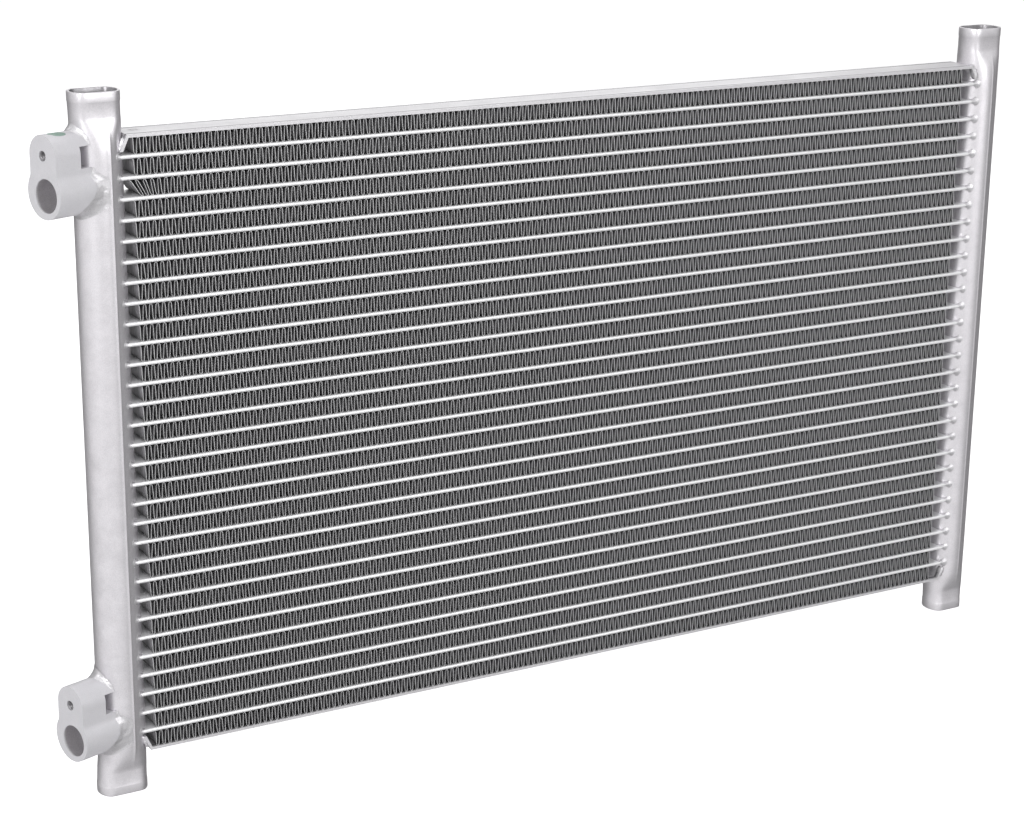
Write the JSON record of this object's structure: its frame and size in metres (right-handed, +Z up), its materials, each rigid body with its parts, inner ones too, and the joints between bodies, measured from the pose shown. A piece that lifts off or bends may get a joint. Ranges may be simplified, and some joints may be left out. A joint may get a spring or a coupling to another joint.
{
  "type": "air conditioning condenser",
  "caption": "Flat parallel-flow condenser: a finned core of flat tubes between two round headers, with two port blocks on one side.",
  "frame": {"origin": "centre of the lower side plate's outer face", "axes": "+X along the core from the header with the port blocks to the plain header, +Y towards the back of the core, +Z up"},
  "size_m": [0.5703, 0.0327, 0.3531],
  "materials": {
    "header": "satin, slightly mottled from brazing",
    "tube": "satin",
    "fin": "thin bright sheet",
    "plate": "satin",
    "block": "matte, machined"
  },
  "bodies": {
    "root": {"end_plugs": "header", "fins_pass_1": "fin", "fins_pass_2": "fin", "fins_pass_3": "fin", "fins_pass_4": "fin", "flat_tube_01": "tube", "flat_tube_02": "tube", "flat_tube_03": "tube", "flat_tube_04": "tube", "flat_tube_05": "tube", "flat_tube_06": "tube", "flat_tube_07": "tube", "flat_tube_08": "tube", "flat_tube_09": "tube", "flat_tube_10": "tube", "flat_tube_11": "tube", "flat_tube_12": "tube", "flat_tube_13": "tube", "flat_tube_14": "tube", "flat_tube_15": "tube", "flat_tube_16": "tube", "flat_tube_17": "tube", "flat_tube_18": "tube", "flat_tube_19": "tube", "flat_tube_20": "tube", "flat_tube_21": "tube", "flat_tube_22": "tube", "flat_tube_23": "tube", "flat_tube_24": "tube", "flat_tube_25": "tube", "flat_tube_26": "tube", "flat_tube_27": "tube", "flat_tube_28": "tube", "flat_tube_29": "tube", "flat_tube_30": "tube", "header_left": "header", "header_right": "header", "pass_baffles": "header", "port_block_bottom": "block", "port_block_top": "block", "side_plate_bottom": "plate", "side_plate_top": "plate"}
  },
  "joints": []
}
